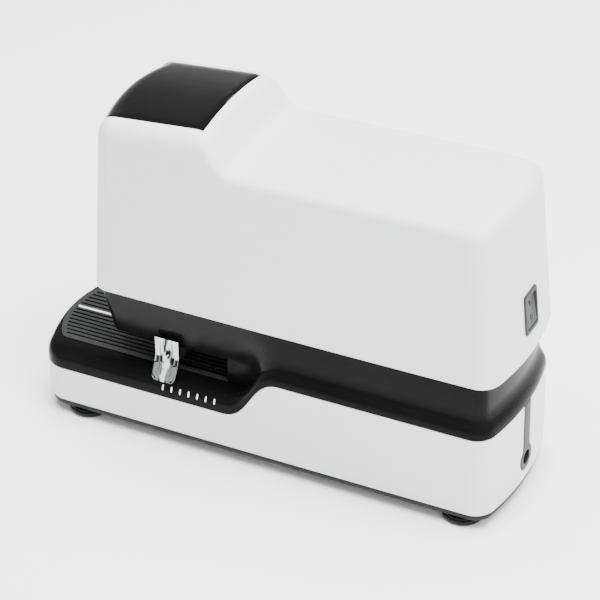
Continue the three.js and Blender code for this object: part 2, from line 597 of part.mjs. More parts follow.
// ---------------------------------------------------------------- stapling head
function makeHead() {
  const block = box(-12.3, 12.3, -79, -55.8, 100, 146);
  const slot = box(-20, 20, stapleY - 7.4, stapleY + 3.3, leverPin.z - 3.4, leverPin.z + 3.4);
  const rodBores = sides.map(([, sign]) => rodZ(2.6, 90, 160, sign * 8, guideY, 16));
  const bladeSlot = box(-6.8, 6.8, stapleY - 1, stapleY + 1, 90, 112);
  add('head_carriage', cut(block, slot, bladeSlot, ...rodBores), finish.steel);
  add('driver_blade', box(-6.4, 6.4, stapleY - 0.6, stapleY + 0.6, 66, 111.6), finish.zincSteel);

  const noseBody = join(box(-10.5, 10.5, nose.front, nose.rear, nose.bottom, 78),
    box(-17.5, 17.5, -79, nose.rear, 78, 81.5));
  const driverSlot = box(-6.8, 6.8, stapleY - 1, stapleY + 1, 30, 100);
  const feedSlot = box(-6.8, 6.8, stapleY, nose.rear + 1, 66, 74);
  const rodSeats = sides.map(([, sign]) => rodZ(2.6, 79, 90, sign * 8, guideY, 16));
  add('staple_nose', cut(noseBody, driverSlot, feedSlot, ...rodSeats), finish.zincSteel);

  for (const [side, sign] of sides) {
    add(`guide_rod_${side}`, rodZ(2.2, 79.4, 160, sign * 8, guideY, 16), finish.chrome);
  }
  const topBores = sides.map(([, sign]) => rodZ(2.6, 150, 165, sign * 8, guideY, 16));
  add('guide_bracket', cut(box(-17.5, 17.5, -78, -66, 155, 161), ...topBores), finish.steel);

  const { front, rear, bottom, top } = cassette;
  const side = [[front, bottom], [rear, bottom], [rear, top - 10], [rear - 8, top], [front, top]];
  const roll = { y: (front + rear) / 2, z: bottom + 26, radius: 14 };
  const rollSpace = rodX(roll.radius + 0.8, -8, 8, roll.y, roll.z, 32);
  const channel = box(-7.2, 7.2, front - 1, roll.y, roll.z - roll.radius - 0.8, roll.z - 8);
  const grip = box(-20, 20, rear - 9, rear - 4, top - 6, top + 1);
  const viewing = rodX(9, -20, -5, roll.y, roll.z, 24);
  add('staple_cassette', cut(acrossX(side, -11.4, 11.4), rollSpace, channel, grip, viewing),
    finish.darkPlastic);
  const lead = box(-6.5, 6.5, front - 0.4, roll.y, roll.z - roll.radius, roll.z - roll.radius + 5);
  add('staple_roll', cut(join(rodX(roll.radius, -6.5, 6.5, roll.y, roll.z, 28), lead),
    rodX(5, -20, 20, roll.y, roll.z, 16)), finish.zincSteel);
}

// ---------------------------------------------------------------- electrics
function makeElectrics() {
  add('circuit_board', box(-27, 27, 109, 110.8, 36, 92), finish.board);
  add('transformer_core', cut(box(-16, 16, 30, 66, 14, 46), box(-20, 20, 37, 44, 20, 40),
    box(-20, 20, 52, 59, 20, 40)), finish.steel);
  const winding = cut(box(-17.4, 17.4, 37.4, 58.6, 20.4, 39.6),
    box(-16.4, 16.4, 43.6, 52.4, 10, 50));
  add('transformer_coil', winding, finish.copper);
}

makeBase();
makeTable();
makeWaist();
makeHousing();
makeSwitch();
makeDepthStop();
makeFrame();
makeDrive();
makeHead();
makeElectrics();

export default stapler;
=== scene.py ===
"""Looks of the electric stapler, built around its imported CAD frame.

Shapes are worked out in millimetres on the frame's axes (+Z up, -Y the paper entry, +X the side
with the depth knob), and Mesh.to_object() turns them into metres. Outer sizes are read from the
CAD nodes; this file adds the curves, roundings, materials, light and camera.
"""

import json
import math

import bmesh
import bpy
from mathutils import Matrix, Vector


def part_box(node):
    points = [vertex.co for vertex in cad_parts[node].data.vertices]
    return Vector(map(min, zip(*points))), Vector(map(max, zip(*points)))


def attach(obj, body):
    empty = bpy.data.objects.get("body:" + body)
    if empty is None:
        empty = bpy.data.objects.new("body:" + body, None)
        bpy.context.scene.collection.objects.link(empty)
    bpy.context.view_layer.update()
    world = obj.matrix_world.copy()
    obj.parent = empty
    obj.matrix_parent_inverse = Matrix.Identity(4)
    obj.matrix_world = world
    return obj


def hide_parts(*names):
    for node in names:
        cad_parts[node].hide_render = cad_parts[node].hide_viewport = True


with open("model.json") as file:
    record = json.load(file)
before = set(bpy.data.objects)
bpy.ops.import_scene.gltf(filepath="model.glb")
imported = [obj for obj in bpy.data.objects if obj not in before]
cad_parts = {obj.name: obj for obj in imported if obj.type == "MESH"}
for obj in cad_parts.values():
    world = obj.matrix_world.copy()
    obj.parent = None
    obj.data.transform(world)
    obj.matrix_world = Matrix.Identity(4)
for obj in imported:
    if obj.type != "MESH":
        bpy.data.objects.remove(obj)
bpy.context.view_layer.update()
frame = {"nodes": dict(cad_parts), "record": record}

MM = 0.001
ROOT = "body"


def corners(node):
    """Lowest and highest corner of a CAD node, in millimetres."""
    low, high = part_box(node)
    return Vector(low) / MM, Vector(high) / MM


# ---------------------------------------------------------------- sizes
base_low, base_high = corners("base_shell")
plate_low, plate_high = corners("base_plate")
housing_low, housing_high = corners("upper_housing")
jaw_low, jaw_high = corners("waist_cover")
lid_low, lid_high = corners("cassette_lid")
table_top = corners("table_cover")[1].z
knob_low, knob_high = corners("depth_knob")
outlet_low, outlet_high = corners("cable_outlet")

WALL = 2.4                                            # of the housing, the base and the table
WAIST_WALL = 1.8
BASE_SEAM = 0.3                                       # gap between the white base and the black rim
STEP = [(-19, 30), (-4, 30), (-3, 56), (13, 56)]      # Bezier of the base's top edge, as (y, z)
TABLE_HALF = 28.4                                     # flat part of the table, to each side
ROLL_TOP = table_top - 0.35                           # where the rim's rounding meets the deck
ROLL_POWER = 3.2                                      # squareness of the rim's rounded section
ROLL_STEPS = 14
THROAT_END = -23
SEAM_Y = THROAT_END + 0.5                             # where table and waist meet on the rim
STAPLE_Y = -62                                        # where the staple goes in
JAW_BOTTOM = 54.6
JAW_HALF_TOP = 37.4
JAW_HALF_BOTTOM = 28.6
JAW_SLANT = 1.5                                       # how far the front leans back at the bottom
GROOVE_PITCH = 3.05
GROOVE_COUNT = 8                                      # grooves on each side of the centre line
GROOVE_HALF = 0.62
LINE_GROOVE_HALF = 0.9                                # the groove that the white line lies in
LINE_HALF = 0.75
GROOVE_DEPTH = 0.8
GROOVE_START = 3.6                                    # grooves begin this far behind the front edge
OUTLET_RADIUS = 7                                     # round lower end of the cable outlet
OUTLET_HALF = 4                                       # half width of the strip above it
OUTLET_GAP = 0.35                                     # gap between the outlet and the base
OUTLET_Z = outlet_low.z + OUTLET_RADIUS
SWITCH_Z = 111
DRAFT_HEIGHT = 83.4                                   # rise over which the drafts are counted
SIDE_DRAFT = 2.4 / 41.1                               # share that the outline shrinks by, per side
FRONT_DRAFT = 6.2 / 98.2
REAR_DRAFT = 6.6 / 132.5
SIDE_BULGE = 0.5                                      # how far the sides bow out half way along
SEAM = 0.4                                            # open gap round the lid
LID_RADIUS = 2.2                                      # rounded rear edge, on the hinge axis
LID_HINGE_Y = lid_high.y - LID_RADIUS
PAST_FRONT = -130                                     # boxes that cut an opening end here, in the open
PAST_REAR = 140
PAST_TOP = 230


# ---------------------------------------------------------------- small mathematics
def lerp(a, b, t):
    """The value at share t on the way from a to b."""
    return a + (b - a) * t


def smooth(t):
    """An even 0 to 1 ramp with soft ends."""
    t = min(max(t, 0), 1)
    return t * t * (3 - 2 * t)


def along(table, at):
    """Linear interpolation in a list of (position, value) pairs."""
    if at <= table[0][0]:
        return table[0][1]
    for (p0, v0), (p1, v1) in zip(table, table[1:]):
        if at <= p1:
            return lerp(v0, v1, (at - p0) / (p1 - p0))
    return table[-1][1]


def bezier(points, steps):
    """Points of a Bezier curve of any degree."""
    curve = []
    for i in range(steps + 1):
        level = [Vector(p) for p in points]
        while len(level) > 1:
            level = [a.lerp(b, i / steps) for a, b in zip(level, level[1:])]
        curve.append(level[0])
    return curve


STEP_CURVE = [(p.x, p.y) for p in bezier(STEP, 40)]


def base_top(y):
    """Height of the white base's top edge."""
    return along(STEP_CURVE, y)


# ---------------------------------------------------------------- outlines seen from above
class Plan:
    """Straight sides, bowed front and rear edges and round corners.

    bows and corner_radii are the (front, rear) radii of the bowed edges and of the corners.
    """

    def __init__(self, half, front, rear, bows, corner_radii):
        self.half = half
        self.front = front
        self.rear = rear
        self.front_bow, self.rear_bow = bows
        self.front_corner, self.rear_corner = corner_radii

    def corner_centre(self, edge, bow, corner, inward):
        """Centre of a corner's arc, which touches the side and the bowed edge."""
        x = self.half - corner
        return x, edge + inward * (bow - math.sqrt((bow - corner) ** 2 - x ** 2))

    def end(self, edge, bow, corner, inward, corner_steps=12, bow_steps=12):
        """One end of the right half, from the side to the centre: (point, outward normal)."""
        x, y = self.corner_centre(edge, bow, corner, inward)
        turn = math.asin(x / (bow - corner))
        points = []
        for i in range(corner_steps + 1):
            angle = (math.pi / 2 - turn) * i / corner_steps
            normal = Vector((math.cos(angle), -inward * math.sin(angle)))
            points.append((Vector((x, y)) + corner * normal, normal))
        for i in range(1, bow_steps + 1):
            angle = turn * (1 - i / bow_steps)
            normal = Vector((math.sin(angle), -inward * math.cos(angle)))
            points.append((Vector((0, edge + inward * bow)) + bow * normal, normal))
        return points

    def right_half(self, side_ys):
        """From the rear centre round the right side to the front centre."""
        rear = self.end(self.rear, self.rear_bow, self.rear_corner, -1)
        front = self.end(self.front, self.front_bow, self.front_corner, 1)
        side = [(Vector((self.half, y)), Vector((1, 0))) for y in side_ys
                if front[0][0].y + 0.5 < y < rear[0][0].y - 0.5]
        return rear[::-1] + side + front

    def front_y(self, x, inset):
        """Where the outline, moved in by inset, crosses x at the front."""
        cx, cy = self.corner_centre(self.front, self.front_bow, self.front_corner, 1)
        turn = math.asin(cx / (self.front_bow - self.front_corner))
        bow = self.front_bow - inset
        if abs(x) <= bow * math.sin(turn):
            return self.front + self.front_bow - math.sqrt(bow ** 2 - x ** 2)
        corner = self.front_corner - inset
        return cy - math.sqrt(max(corner ** 2 - (abs(x) - cx) ** 2, 0))


def mirrored(points):
    """The same points on the other side of the middle plane."""
    return [Vector((-p[0], *p[1:])) for p in points]


def full_ring(right):
    """Closes a right half, which runs from rear to front, with its mirror image."""
    return list(right) + mirrored(right[-2:0:-1])


BASE_PLAN = Plan(base_high.x, base_low.y, base_high.y, (120, 150), (15, 11))
HOUSING_PLAN = Plan(housing_high.x, housing_low.y, housing_high.y, (130, 150), (10, 11))
DECK_PLAN = Plan(TABLE_HALF, base_low.y + 1.4, base_high.y, (45, 150), (6, 6))
JAW_PLAN = Plan(JAW_HALF_TOP, jaw_low.y, 60, (120, 200), (5, 3))
# Stations along the sides, as y: 3 mm apart, and 1 mm apart where the base's top edge steps.
LONG_SIDE = [122 - 3 * i for i in range(36)] + [12.5 - i for i in range(40)]
LONG_SIDE += [-29 - 3 * i for i in range(32)]


# ---------------------------------------------------------------- meshes
class Mesh:
    """Points and faces of one piece, gathered in millimetres."""

    def __init__(self):
        self.points = []
        self.faces = []

    def row(self, points):
        """Adds points and returns their indices."""
        first = len(self.points)
        self.points.extend(Vector(p) for p in points)
        return list(range(first, len(self.points)))

    def strip(self, one, other, closed=False):
        """Quads between two rows of the same length."""
        count = len(one)
        for i in range(count if closed else count - 1):
            j = (i + 1) % count
            self.faces.append((one[i], one[j], other[j], other[i]))

    def grid(self, rows, closed=False, loop=False):
        """Quads between successive rows; closed joins each row's ends, loop the last to the first."""
        rows = [self.row(points) for points in rows]
        for one, other in zip(rows, rows[1:]):
            self.strip(one, other, closed)
        if loop:
            self.strip(rows[-1], rows[0], closed)
        return rows

    def tube(self, rows):
        """A closed solid from rings of points, with a flat face at each end."""
        rows = self.grid(rows, closed=True)
        self.faces.append(tuple(reversed(rows[0])))
        self.faces.append(tuple(rows[-1]))

    def to_object(self, name):
        """The object, in metres, with its points merged and its faces turned outwards."""
        data = bpy.data.meshes.new(name)
        data.from_pydata([p * MM for p in self.points], [], self.faces)
        work = bmesh.new()
        work.from_mesh(data)
        bmesh.ops.remove_doubles(work, verts=work.verts, dist=1e-6)
        bmesh.ops.dissolve_degenerate(work, edges=work.edges, dist=1e-7)
        bmesh.ops.recalc_face_normals(work, faces=work.faces)
        outermost = max(work.faces, key=lambda face: face.calc_center_median().x)
        if outermost.normal.x < 0:
            bmesh.ops.reverse_faces(work, faces=work.faces)
        work.to_mesh(data)
        work.free()
        obj = bpy.data.objects.new(name, data)
        bpy.context.scene.collection.objects.link(obj)
        return obj


def apply_modifiers(obj):
    """Keeps the object's mesh as its modifiers leave it."""
    depsgraph = bpy.context.evaluated_depsgraph_get()
    final = bpy.data.meshes.new_from_object(obj.evaluated_get(depsgraph))
    obj.modifiers.clear()
    obj.data = final


def thicken(obj, thickness=WALL):
    """Gives a skin its wall, on the inside."""
    modifier = obj.modifiers.new("wall", "SOLIDIFY")
    modifier.thickness = thickness * MM
    modifier.offset = -1
    apply_modifiers(obj)


def carve(obj, cutter):
    """Cuts the solids of one Mesh out of an object."""
    tool = cutter.to_object("cutter")
    modifier = obj.modifiers.new("cut", "BOOLEAN")
    modifier.operation = "DIFFERENCE"
    modifier.solver = "EXACT"
    modifier.object = tool
    apply_modifiers(obj)
    assert obj.data.polygons, f"nothing was left of {obj.name}"
    bpy.data.objects.remove(tool)


def finished(obj, slot, body, nodes=(), sharp=32):
    """Shades a piece, gives it its material, hangs it on its body's empty and hides the CAD nodes that it
    stands for.
    """
    for face in obj.data.polygons:
        face.use_smooth = True
    obj.data.set_sharp_from_angle(angle=math.radians(sharp))
    obj.data.materials.clear()
    obj.data.materials.append(looks[slot])
    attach(obj, body)
    if nodes:
        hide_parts(*nodes)
    return obj


def circle(radius, sides, x=0, y=0):
    """Corners of a regular polygon that stands for a circle."""
    turns = [2 * math.pi * i / sides for i in range(sides)]
    return [(x + radius * math.cos(turn), y + radius * math.sin(turn)) for turn in turns]


def prism(mesh, outline, z0, z1):
    """Adds an upright solid with the given outline."""
    mesh.tube([[(x, y, z) for x, y in outline] for z in (z0, z1)])
    return mesh


def block(mesh, x0, x1, y0, y1, z0, z1):
    """Adds a plain box, used for cutting."""
    return prism(mesh, [(x0, y0), (x1, y0), (x1, y1), (x0, y1)], z0, z1)


def rod_y(mesh, radius, y0, y1, z, sides=48):
    """Adds a round rod along y in the middle plane, used for cutting."""
    ring = circle(radius, sides, 0, z)
    mesh.tube([[(x, y, v) for x, v in ring] for y in (y0, y1)])
    return mesh


def lathe(profile, x, y, sides=56):
    """An upright turned solid at (x, y), from a profile of (radius, z) points."""
    mesh = Mesh()
    mesh.tube([[(*corner, z) for corner in circle(radius, sides, x, y)] for radius, z in profile])
    return mesh


def round_ended(x, half, front, rear, steps):
    """Outline of a strip along y with a half round front end and a square rear end."""
    angles = [math.pi * (1 + i / steps) for i in range(steps + 1)]
    nose = [(x + half * math.cos(angle), front + half * math.sin(angle)) for angle in angles]
    return nose + [(x + half, rear), (x - half, rear)]


def inset_loop(loop, distance):
    """Moves a closed 2D outline, listed anticlockwise, inwards."""
    moved = []
    count = len(loop)
    for i, point in enumerate(loop):
        before = (point - loop[i - 1]).normalized()
        after = (loop[(i + 1) % count] - point).normalized()
        inward = Vector((-before.y - after.y, before.x + after.x)).normalized()
        moved.append(point + inward * distance / max(inward.dot(Vector((-before.y, before.x))), 0.5))
    return moved


def rounded_rectangle(half_width, half_height, radius, steps=6):
    """Outline listed anticlockwise, round its own centre."""
    loop = []
    for quadrant, (sx, sy) in enumerate([(1, 1), (-1, 1), (-1, -1), (1, -1)]):
        for i in range(steps + 1):
            angle = (quadrant + i / steps) * math.pi / 2
            loop.append(Vector((sx * (half_width - radius) + radius * math.cos(angle),
                                sy * (half_height - radius) + radius * math.sin(angle))))
    return loop


# ---------------------------------------------------------------- materials
class Nodes:
    """Short names for building one material's node tree."""

    def __init__(self, name):
        self.material = bpy.data.materials.new(name)
        self.material.use_nodes = True
        self.tree = self.material.node_tree
        self.shader = self.tree.nodes["Principled BSDF"]
        self.place = self.add("ShaderNodeTexCoord").outputs["Object"]

    def add(self, kind, **settings):
        node = self.tree.nodes.new(kind)
        for key, value in settings.items():
            setattr(node, key, value)
        return node

    def link(self, output, target):
        self.tree.links.new(output, target)

    def noise(self, scale, detail=3.0, stretch=(1, 1, 1)):
        """Noise in the object's own space; scale is in features per metre."""
        mapping = self.add("ShaderNodeMapping")
        mapping.inputs["Scale"].default_value = stretch
        self.link(self.place, mapping.inputs["Vector"])
        noise = self.add("ShaderNodeTexNoise")
        noise.inputs["Scale"].default_value = scale
        noise.inputs["Detail"].default_value = detail
        self.link(mapping.outputs["Vector"], noise.inputs["Vector"])
        return noise.outputs["Fac"]

    def spread(self, factor, low, high):
        """Turns a noise factor into values from low to high."""
        node = self.add("ShaderNodeMapRange")
        node.inputs["From Min"].default_value = 0.3
        node.inputs["From Max"].default_value = 0.7
        node.inputs["To Min"].default_value = low
        node.inputs["To Max"].default_value = high
        self.link(factor, node.inputs["Value"])
        return node.outputs["Result"]

    def colour(self, factor, dark, light):
        """Base colour between dark and light, by a noise factor."""
        ramp = self.add("ShaderNodeValToRGB")
        ramp.color_ramp.elements[0].position = 0.3
        ramp.color_ramp.elements[1].position = 0.7
        ramp.color_ramp.elements[0].color = (*dark, 1)
        ramp.color_ramp.elements[1].color = (*light, 1)
        self.link(factor, ramp.inputs["Fac"])
        self.link(ramp.outputs["Color"], self.shader.inputs["Base Color"])

    def bump(self, factor, height):
        """height is the depth of the relief in metres."""
        bump = self.add("ShaderNodeBump")
        bump.inputs["Distance"].default_value = height
        self.link(factor, bump.inputs["Height"])
        self.link(bump.outputs["Normal"], self.shader.inputs["Normal"])


def surface(name, colour, vary, roughness, grain, metal=0.0, cloud=35, stretch=(1, 1, 1),
            specular=0.5):
    """A moulded, plated or drawn surface.

    vary is the share by which the colour drifts, cloud that drift's features per metre, roughness
    a (low, high) pair, and grain the (features per metre, relief in metres) of the finest texture.
    """
    nodes = Nodes(name)
    drift = nodes.noise(cloud, 4)
    nodes.colour(drift, [c * (1 - vary) for c in colour], [min(c * (1 + vary), 1) for c in colour])
    fine = nodes.noise(grain[0], 2, stretch)
    nodes.link(nodes.spread(nodes.noise(cloud * 3, 5, stretch), *roughness),
               nodes.shader.inputs["Roughness"])
    nodes.bump(fine, grain[1])
    nodes.shader.inputs["Metallic"].default_value = metal
    nodes.shader.inputs["Specular IOR Level"].default_value = specular
    return nodes.material


def make_materials():
    """The look of each material slot in the record."""
    drawn = (1, 12, 1)
    wound = (1, 1, 14)
    return {
        "white_shell": surface("white_shell", (0.66, 0.675, 0.67), 0.012, (0.34, 0.42), (2600, 1.2e-5)),
        "gloss_black": surface("gloss_black", (0.004, 0.004, 0.0042), 0.15, (0.17, 0.24), (900, 2.5e-6),
                               specular=0.045),
        "dark_trim": surface("dark_trim", (0.013, 0.0135, 0.0135), 0.12, (0.38, 0.5), (2200, 2e-5),
                             specular=0.1),
        "grey_plastic": surface("grey_plastic", (0.035, 0.037, 0.036), 0.05, (0.42, 0.52), (2400, 2e-5),
                                specular=0.15),
        "white_ink": surface("white_ink", (0.86, 0.86, 0.85), 0.03, (0.4, 0.55), (3000, 8e-6)),
        "rubber_foot": surface("rubber_foot", (0.005, 0.005, 0.0055), 0.15, (0.16, 0.28), (1500, 8e-6),
                               specular=0.12),
        "chrome_trim": surface("chrome_trim", (0.42, 0.435, 0.44), 0.03, (0.08, 0.14), (1400, 2e-6),
                               metal=1.0),
        "zinc_steel": surface("zinc_steel", (0.56, 0.57, 0.58), 0.10, (0.26, 0.42), (1800, 6e-6),
                              metal=1.0, cloud=60, stretch=drawn),
        "frame_steel": surface("frame_steel", (0.36, 0.37, 0.385), 0.12, (0.32, 0.5), (1500, 8e-6),
                               metal=1.0, cloud=50, stretch=drawn),
        "nylon_gear": surface("nylon_gear", (0.71, 0.67, 0.56), 0.04, (0.38, 0.5), (1800, 1e-5)),
        "brass_part": surface("brass_part", (0.64, 0.45, 0.19), 0.08, (0.24, 0.38), (1600, 5e-6),
                              metal=1.0),
        "board_green": surface("board_green", (0.022, 0.15, 0.07), 0.2, (0.3, 0.42), (1200, 1.5e-5)),
        "copper_wire": surface("copper_wire", (0.52, 0.21, 0.09), 0.12, (0.25, 0.4), (2800, 6e-5),
                               metal=1.0, cloud=60, stretch=wound),
    }


looks = make_materials()
deck_look = surface("deck_satin", (0.026, 0.027, 0.027), 0.08, (0.42, 0.52), (2400, 1.6e-5),
                    specular=0.25)


# ---------------------------------------------------------------- housing and lid
CROWN_SLOPE = 6.3 / 71                                # the head's top rises towards the hinge
ARCH_RADIUS_HEAD = 150                                # how the top curves from side to side
ARCH_RADIUS_REAR = 400
LIP = 0.9                                             # rounding of the housing's lower edge
LIP_ANGLES = (0, 0.52, 1.05)
EDGE_RADIUS = [(-30, 6.3), (-12, 4.3), (104, 4.3), (120, 6.5)]    # of the top's sides, by y
FRONT_RADIUS = 11.5                                   # rounding of the top's front edge
CORNER_RADIUS = 8.4                                   # and of its corners
BOW_START = 0.965                                     # how squarely a corner faces where it ends
WALL_STEPS = 12
ROUND_STEPS = 8
ACROSS_STEPS = 32
SETTLE_ROUNDS = 5                                     # enough for a height to stop changing
EYE_HALF = 5                                          # half width of the room for the bracket's eye
EYE_RADIUS = 1.95                                     # and that room's radius about the hinge axis
LID_PITCH = 4                                         # distance between the lid's sections


def crown_height(y):
    """Height of the head's top along its middle."""
    return lid_high.z - CROWN_SLOPE * (LID_HINGE_Y - y)


def top_profile():
    """Middle line of the top as (y, z): sloping head, rounded shoulder, hollow and rear top."""
    shoulder = bezier([(-33, crown_height(-33)), (-26.5, crown_height(-26.5)), (-23.2, 186.6)], 16)
    hollow = bezier([(-17, 177.2), (-13.6, 172.2), (-5, 172.4)], 16)
    curves = [tuple(p) for p in shoulder[1:] + hollow]
    return [(y, crown_height(y)) for y in (-110, -33)] + curves + [(112, 174.2), (130, 174.4)]


TOP_PROFILE = top_profile()


def top_height(x, y):
    """Height of the outer top surface before its edges are rounded."""
    arch = lerp(1 / ARCH_RADIUS_HEAD, 1 / ARCH_RADIUS_REAR, smooth((y + 30) / 22)) / 2
    return along(TOP_PROFILE, y) - arch * x * x


def drafted(x, y, z):
    """Pulls a point of the housing's outline in by the mould draft at height z."""
    rise = (z - housing_low.z) / DRAFT_HEIGHT
    middle = (housing_high.y + housing_low.y) / 2
    reach = (housing_high.y - housing_low.y) / 2
    bulge = SIDE_BULGE / housing_high.x * max(1 - ((y - middle) / reach) ** 2, 0)
    return x * (1 - rise * SIDE_DRAFT + bulge), y * (1 - rise * (FRONT_DRAFT if y < 0 else REAR_DRAFT))


def settle(point, drop):
    """The drafted point that lies drop below the top surface."""
    z = housing_high.z
    for _ in range(SETTLE_ROUNDS):
        x, y = drafted(*point, z)
        z = top_height(x, y) - drop
    return Vector((x, y, z))


def edge_radius(point, normal):
    """Rounding of the top's edge, which grows from the sides towards the front."""
    side = along(EDGE_RADIUS, point.y)
    if point.y > 0:
        return side
    turned = side + (CORNER_RADIUS - side) * smooth(-normal.y / BOW_START)
    return lerp(turned, FRONT_RADIUS, smooth((-normal.y - BOW_START) / (1 - BOW_START)))


def lip_rings(right):
    """Rings round the rounded lower edge of the housing's outer skin."""
    rings = []
    for angle in LIP_ANGLES:
        inset = LIP * (1 - math.sin(angle))
        z = housing_low.z + LIP * (1 - math.cos(angle))
        rings.append([Vector((*drafted(*(p - n * inset), z), z)) for p, n in right])
    return rings


def housing_rows(offset, right):
    """One skin: rings up the wall and over the rounded edge, then rows across the top."""
    rings = [] if offset else lip_rings(right)
    start = housing_low.z + (0 if offset else LIP)
    for i in range(WALL_STEPS + 1):
        ring = []
        for p, n in right:
            q = p - n * offset
            top = settle(q, edge_radius(q, n)).z
            z = lerp(start, top, i / WALL_STEPS)
            ring.append(Vector((*drafted(*q, z), z)))
        rings.append(ring)
    for i in range(1, ROUND_STEPS + 1):
        angle = math.pi / 2 * i / ROUND_STEPS
        ring = []
        for p, n in right:
            radius = edge_radius(p, n) - offset
            q = p - n * (offset + radius * (1 - math.cos(angle)))
            ring.append(settle(q, offset + radius * (1 - math.sin(angle))))
        rings.append(ring)
    across = []
    for end in rings[-1]:
        xs = [end.x * (1 - 2 * j / ACROSS_STEPS) for j in range(ACROSS_STEPS + 1)]
        across.append([Vector((x, end.y, top_height(x, end.y) - offset)) for x in xs])
    return [full_ring(ring) for ring in rings], across


def make_housing():
    """White housing with the openings for the lid and the switch."""
    right = HOUSING_PLAN.right_half(LONG_SIDE)
    mesh = Mesh()
    skins = []
    for offset in (0, WALL):
        rings, across = housing_rows(offset, right)
        skins.append(mesh.grid(rings, closed=True))
        mesh.grid(across)
    mesh.strip(skins[0][0], skins[1][0], closed=True)
    shell = mesh.to_object("housing_shell")
    half = lid_high.x + SEAM
    carve(shell, block(Mesh(), -half, half, PAST_FRONT, lid_high.y + SEAM, lid_low.z - SEAM, PAST_TOP))
    switch_half, switch_reach, inside = 6.9, 10, 118
    carve(shell, block(Mesh(), -switch_half, switch_half, inside, PAST_REAR,
                       SWITCH_Z - switch_reach, SWITCH_Z + switch_reach))
    finished(shell, "white_shell", ROOT, ["upper_housing"])


def lid_skin(x, offset):
    """One side of the lid at x, from the bottom of its front skirt back to the hinge."""
    edge = FRONT_RADIUS - offset
    skirt_steps, round_steps, top_steps = 8, 10, 24

    def front_point(inset, z):
        rise = (z - housing_low.z) / DRAFT_HEIGHT
        plan_x = x / (1 - rise * SIDE_DRAFT)
        return Vector((x, HOUSING_PLAN.front_y(plan_x, inset) * (1 - rise * FRONT_DRAFT), z))

    def under_top(inset, drop):
        z = lid_high.z
        for _ in range(SETTLE_ROUNDS):
            point = front_point(inset, z)
            z = top_height(x, point.y) - drop
        return point

    points = []
    wall_top = under_top(offset, offset + edge).z
    for i in range(skirt_steps + 1):
        points.append(front_point(offset, lerp(lid_low.z, wall_top, i / skirt_steps)))
    for i in range(1, round_steps + 1):
        angle = math.pi / 2 * i / round_steps
        points.append(under_top(offset + edge * (1 - math.cos(angle)),
                                offset + edge * (1 - math.sin(angle))))
    start = points[-1].y
    for i in range(1, top_steps + 1):
        y = lerp(start, LID_HINGE_Y, i / top_steps)
        points.append(Vector((x, y, top_height(x, y) - offset)))
    return points


def lid_section(x, shrink):
    """Closed section of the lid at x, made smaller by shrink.

    The rear edge is round about the hinge axis. Over the hinge eye, which is a part of the CAD's
    bracket, the skin stops behind the axis and turns back just outside the eye.
    """
    outer = lid_skin(x, shrink)
    inner = lid_skin(x, WALL)
    centre = outer[-1] + Vector((0, 0, shrink - LID_RADIUS))
    radius = LID_RADIUS - shrink
    over_eye = abs(x) < EYE_HALF
    turn = math.radians(45 if over_eye else -90)
    stop = math.pi / 2 if over_eye else -2.2
    back_radius = EYE_RADIUS if over_eye else radius

    def arc(size, first, last, steps):
        angles = [lerp(first, last, i / steps) for i in range(1, steps + 1)]
        return [centre + size * Vector((0, math.cos(angle), math.sin(angle))) for angle in angles]

    rear = arc(radius, math.pi / 2, turn, 8) + arc(back_radius, turn, stop, 4)
    return outer + rear + inner[-3::-1]


def make_lid():
    """Black lid, from evenly spaced sections with softened ends."""
    edge = lid_high.x
    count = round(2 * edge / LID_PITCH)
    stations = [(edge - LID_PITCH * i, 0) for i in range(1, count)]
    for side in (1, -1):
        stations += [(side * (EYE_HALF + step), 0) for step in (-0.1, 0.1)]
        stations += [(side * (edge - inset), shrink)
                     for inset, shrink in ((0, 0.5), (0.15, 0.15), (0.5, 0))]
    mesh = Mesh()
    mesh.tube([lid_section(x, shrink) for x, shrink in sorted(stations)])
    finished(mesh.to_object("lid_shell"), "gloss_black", "lid", ["cassette_lid"])


# ---------------------------------------------------------------- waist and jaw
JAW_FIRST = 20                                        # profile points below the jaw's lower edge
JAW_STEPS = 10
NECK_INSET = 4.0                                      # where the rear band ends, at NECK_Z
NECK_Z = 69
FLANGE_SHARE = 0.82                                   # width left inside the flange under the housing


def roll_share(part):
    """Rounded rim of the table: shares of its width and of its height at part 0 to 1."""
    angle = part * math.pi / 2
    return 1 - math.cos(angle) ** (2 / ROLL_POWER), math.sin(angle) ** (2 / ROLL_POWER)


def roll_point(part):
    """(inset from the side, height) on the rim."""
    inward, upward = roll_share(part)
    return (base_high.x - TABLE_HALF) * inward, lerp(STEP[0][1] + BASE_SEAM, ROLL_TOP, upward)


def throat_profile():
    """Side of the waist where the throat ends: rim, end wall and tapering jaw."""
    points = [roll_point(i / ROLL_STEPS) for i in range(ROLL_STEPS + 1)]
    wall_steps = JAW_FIRST - ROLL_STEPS
    foot = base_high.x - TABLE_HALF
    for i in range(1, wall_steps + 1):
        points.append((lerp(foot, base_high.x - JAW_HALF_BOTTOM, i / wall_steps),
                       lerp(ROLL_TOP, JAW_BOTTOM, i / wall_steps)))
    for i in range(1, JAW_STEPS + 1):
        points.append((base_high.x - lerp(JAW_HALF_BOTTOM, JAW_HALF_TOP, i / JAW_STEPS),
                       lerp(JAW_BOTTOM, jaw_high.z, i / JAW_STEPS)))
    return points


def rear_profile():
    """Side of the waist behind the step: a flush band that sweeps in to a narrow neck."""
    bottom = STEP[-1][1] + BASE_SEAM
    sweep = bezier([(0, bottom), (0, bottom + 5.2), (3.4, bottom + 6.6), (NECK_INSET, NECK_Z)], JAW_FIRST)
    points = [tuple(p) for p in sweep]
    neck = base_high.x - JAW_HALF_TOP
    for i in range(1, JAW_STEPS + 1):
        points.append((lerp(NECK_INSET, neck, i / JAW_STEPS), lerp(NECK_Z, jaw_high.z, i / JAW_STEPS)))
    return points


